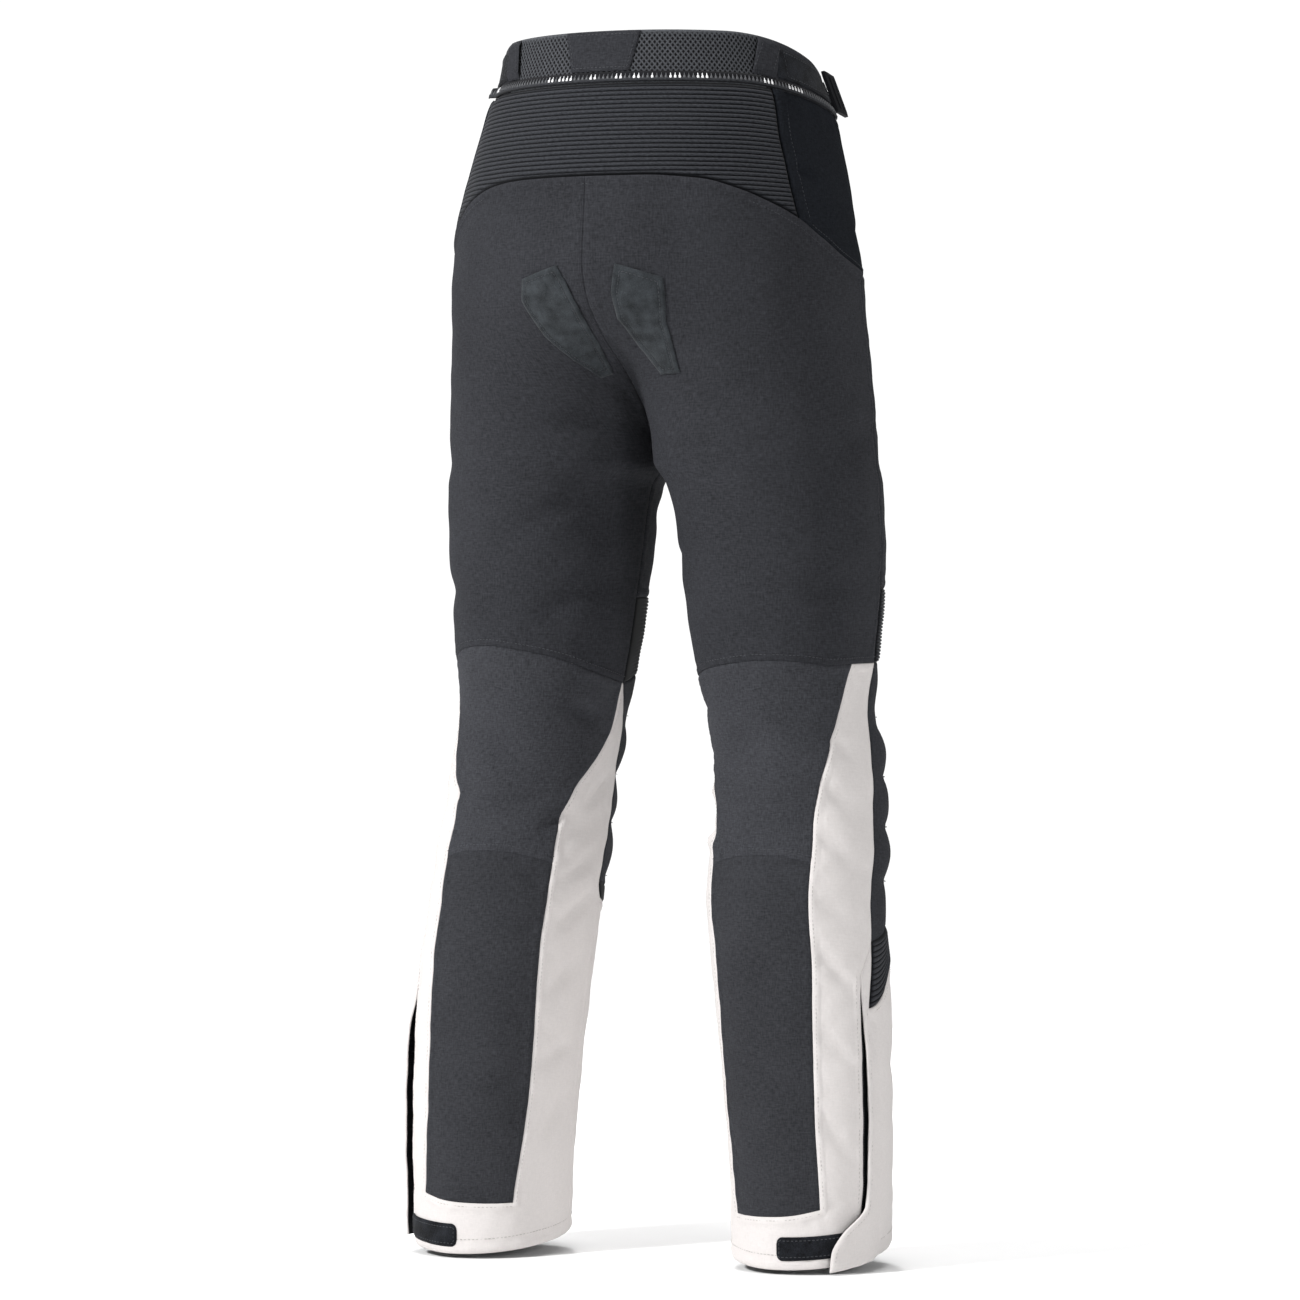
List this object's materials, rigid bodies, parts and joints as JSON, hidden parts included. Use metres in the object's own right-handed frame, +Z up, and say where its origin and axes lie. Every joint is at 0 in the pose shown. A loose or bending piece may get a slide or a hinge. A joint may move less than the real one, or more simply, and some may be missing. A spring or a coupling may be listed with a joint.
{
  "type": "motorcycle trousers",
  "caption": "Motorcycle trousers in black and pale grey cloth, filled out as if worn, with a ribbed stretch back, padded knees and zipped hems.",
  "frame": {"origin": "centre of the waist at the height of the hips' top, where the trousers are held when worn", "axes": "+Z up out of the waist, front of the trousers towards -Y, the wearer's left towards +X"},
  "size_m": [0.4411, 0.3022, 1.0596],
  "materials": {
    "black_cloth": "matt woven nylon, near black",
    "knee_cloth": "matt woven nylon, charcoal",
    "grey_cloth": "matt woven nylon, pale silver grey",
    "mesh_elastic": "open spacer mesh, black",
    "rib_stretch": "elastic accordion ribs, black with a grey bloom",
    "suede": "napped suede, dark blue grey",
    "hook_tape": "hook and loop tape, black",
    "zip_tape": "woven tape with fine teeth",
    "plastic": "moulded black plastic",
    "metal": "darkened press snap"
  },
  "bodies": {
    "root": {"back_tab": "black_cloth", "closure_snap": "metal", "closure_tab": "black_cloth", "connection_zip": "zip_tape", "fly_cover": "black_cloth", "left_adjuster_anchor": "black_cloth", "left_adjuster_buckle": "plastic", "left_adjuster_strap": "hook_tape", "left_belt_loop": "black_cloth", "left_calf": "black_cloth", "left_front_thigh": "black_cloth", "left_grip_patch": "suede", "left_hem_tab": "hook_tape", "left_hip_side": "black_cloth", "left_knee_back": "knee_cloth", "left_knee_front": "mesh_elastic", "left_seat_and_thigh": "black_cloth", "left_shin": "grey_cloth", "left_shin_stretch": "rib_stretch", "left_side_panel": "grey_cloth", "left_thigh_stretch": "rib_stretch", "left_waist_front": "black_cloth", "left_zip_gusset": "black_cloth", "lumbar_stretch": "rib_stretch", "right_adjuster_anchor": "black_cloth", "right_adjuster_buckle": "plastic", "right_adjuster_strap": "hook_tape", "right_belt_loop": "black_cloth", "right_calf": "black_cloth", "right_front_thigh": "black_cloth", "right_grip_patch": "suede", "right_hem_tab": "hook_tape", "right_hip_side": "black_cloth", "right_knee_back": "knee_cloth", "right_knee_front": "mesh_elastic", "right_seat_and_thigh": "black_cloth", "right_shin": "grey_cloth", "right_shin_stretch": "rib_stretch", "right_side_panel": "grey_cloth", "right_thigh_stretch": "rib_stretch", "right_waist_front": "black_cloth", "right_zip_gusset": "black_cloth", "waist_back": "mesh_elastic"}
  },
  "joints": []
}
